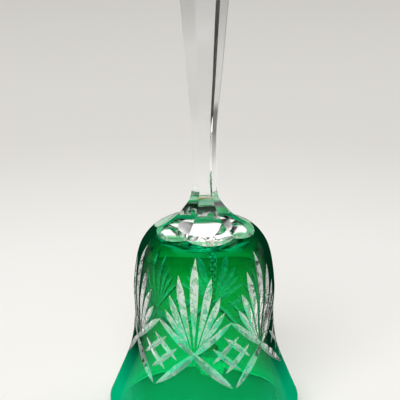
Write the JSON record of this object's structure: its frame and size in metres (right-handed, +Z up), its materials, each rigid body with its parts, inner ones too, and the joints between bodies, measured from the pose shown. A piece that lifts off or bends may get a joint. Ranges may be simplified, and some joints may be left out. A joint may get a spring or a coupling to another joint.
{
  "type": "cut glass hand bell",
  "caption": "Cut crystal hand bell: flared bowl under a thin green overlay, six-sided clear handle, and a crystal clapper on a fine brass chain.",
  "frame": {"origin": "middle of the mouth, in the plane of the ground rim", "axes": "+Z up the handle; -Y faces the viewer; +X to the viewer's right, the side to which the hanger is offset"},
  "size_m": [0.095, 0.095, 0.228],
  "materials": {
    "crystal": "polished clear lead crystal",
    "green_overlay": "polished emerald green overlay, cut through to clear",
    "brass": "bright drawn brass",
    "cement": "set clear cement, slightly cloudy"
  },
  "bodies": {
    "bell": {"bell_core": "crystal", "green_casing": "green_overlay", "handle": "crystal", "hanger_cement": "cement", "hanger_plate": "brass", "hanger_eye": "brass"},
    "link_01": {"chain_link_01": "brass"},
    "link_02": {"chain_link_02": "brass"},
    "link_03": {"chain_link_03": "brass"},
    "link_04": {"chain_link_04": "brass"},
    "link_05": {"chain_link_05": "brass"},
    "link_06": {"chain_link_06": "brass"},
    "link_07": {"chain_link_07": "brass"},
    "link_08": {"chain_link_08": "brass"},
    "link_09": {"chain_link_09": "brass"},
    "link_10": {"chain_link_10": "brass"},
    "link_11": {"chain_link_11": "brass"},
    "link_12": {"chain_link_12": "brass"},
    "link_13": {"chain_link_13": "brass"},
    "link_14": {"chain_link_14": "brass"},
    "link_15": {"chain_link_15": "brass"},
    "link_16": {"chain_link_16": "brass"},
    "link_17": {"chain_link_17": "brass"},
    "link_18": {"chain_link_18": "brass"},
    "link_19": {"chain_link_19": "brass"},
    "link_20": {"chain_link_20": "brass"},
    "link_21": {"chain_link_21": "brass"},
    "link_22": {"chain_link_22": "brass"},
    "clapper": {"clapper_eye": "brass", "clapper_cap": "brass", "clapper_ball": "crystal"}
  },
  "joints": [
    {"name": "link_01_swing", "type": "hinge", "parent": "bell", "child": "link_01", "pos_m": [0.0038, 0, 0.0867], "axis": [1, 0, 0], "range_deg": [-11, 11]},
    {"name": "link_02_swing", "type": "hinge", "parent": "link_01", "child": "link_02", "pos_m": [0.0038, 0, 0.08446], "axis": [0, 1, 0], "range_deg": [-10, 10]},
    {"name": "link_03_swing", "type": "hinge", "parent": "link_02", "child": "link_03", "pos_m": [0.0038, 0, 0.08222], "axis": [-1, 0, 0], "range_deg": [-12, 12]},
    {"name": "link_04_swing", "type": "hinge", "parent": "link_03", "child": "link_04", "pos_m": [0.0038, 0, 0.07998], "axis": [0, -1, 0], "range_deg": [-11, 11]},
    {"name": "link_05_swing", "type": "hinge", "parent": "link_04", "child": "link_05", "pos_m": [0.0038, 0, 0.07774], "axis": [1, 0, 0], "range_deg": [-13, 13]},
    {"name": "link_06_swing", "type": "hinge", "parent": "link_05", "child": "link_06", "pos_m": [0.0038, 0, 0.0755], "axis": [0, 1, 0], "range_deg": [-12, 12]},
    {"name": "link_07_swing", "type": "hinge", "parent": "link_06", "child": "link_07", "pos_m": [0.0038, 0, 0.07326], "axis": [-1, 0, 0], "range_deg": [-14, 14]},
    {"name": "link_08_swing", "type": "hinge", "parent": "link_07", "child": "link_08", "pos_m": [0.0038, 0, 0.07102], "axis": [0, -1, 0], "range_deg": [-13, 13]},
    {"name": "link_09_swing", "type": "hinge", "parent": "link_08", "child": "link_09", "pos_m": [0.0038, 0, 0.06878], "axis": [1, 0, 0], "range_deg": [-16, 16]},
    {"name": "link_10_swing", "type": "hinge", "parent": "link_09", "child": "link_10", "pos_m": [0.0038, 0, 0.06654], "axis": [0, 1, 0], "range_deg": [-14, 14]},
    {"name": "link_11_swing", "type": "hinge", "parent": "link_10", "child": "link_11", "pos_m": [0.0038, 0, 0.0643], "axis": [-1, 0, 0], "range_deg": [-18, 18]},
    {"name": "link_12_swing", "type": "hinge", "parent": "link_11", "child": "link_12", "pos_m": [0.0038, 0, 0.06206], "axis": [0, -1, 0], "range_deg": [-16, 16]},
    {"name": "link_13_swing", "type": "hinge", "parent": "link_12", "child": "link_13", "pos_m": [0.0038, 0, 0.05982], "axis": [1, 0, 0], "range_deg": [-20, 20]},
    {"name": "link_14_swing", "type": "hinge", "parent": "link_13", "child": "link_14", "pos_m": [0.0038, 0, 0.05758], "axis": [0, 1, 0], "range_deg": [-19, 19]},
    {"name": "link_15_swing", "type": "hinge", "parent": "link_14", "child": "link_15", "pos_m": [0.0038, 0, 0.05534], "axis": [-1, 0, 0], "range_deg": [-24, 24]},
    {"name": "link_16_swing", "type": "hinge", "parent": "link_15", "child": "link_16", "pos_m": [0.0038, 0, 0.0531], "axis": [0, -1, 0], "range_deg": [-22, 22]},
    {"name": "link_17_swing", "type": "hinge", "parent": "link_16", "child": "link_17", "pos_m": [0.0038, 0, 0.05086], "axis": [1, 0, 0], "range_deg": [-30, 30]},
    {"name": "link_18_swing", "type": "hinge", "parent": "link_17", "child": "link_18", "pos_m": [0.0038, 0, 0.04862], "axis": [0, 1, 0], "range_deg": [-27, 27]},
    {"name": "link_19_swing", "type": "hinge", "parent": "link_18", "child": "link_19", "pos_m": [0.0038, 0, 0.04638], "axis": [-1, 0, 0], "range_deg": [-30, 30]},
    {"name": "link_20_swing", "type": "hinge", "parent": "link_19", "child": "link_20", "pos_m": [0.0038, 0, 0.04414], "axis": [0, -1, 0], "range_deg": [-30, 30]},
    {"name": "link_21_swing", "type": "hinge", "parent": "link_20", "child": "link_21", "pos_m": [0.0038, 0, 0.0419], "axis": [1, 0, 0], "range_deg": [-30, 30]},
    {"name": "link_22_swing", "type": "hinge", "parent": "link_21", "child": "link_22", "pos_m": [0.0038, 0, 0.03966], "axis": [0, 1, 0], "range_deg": [-30, 30]},
    {"name": "clapper_swing", "type": "hinge", "parent": "link_22", "child": "clapper", "pos_m": [0.0038, 0, 0.03742], "axis": [-1, 0, 0], "range_deg": [-30, 30]}
  ]
}
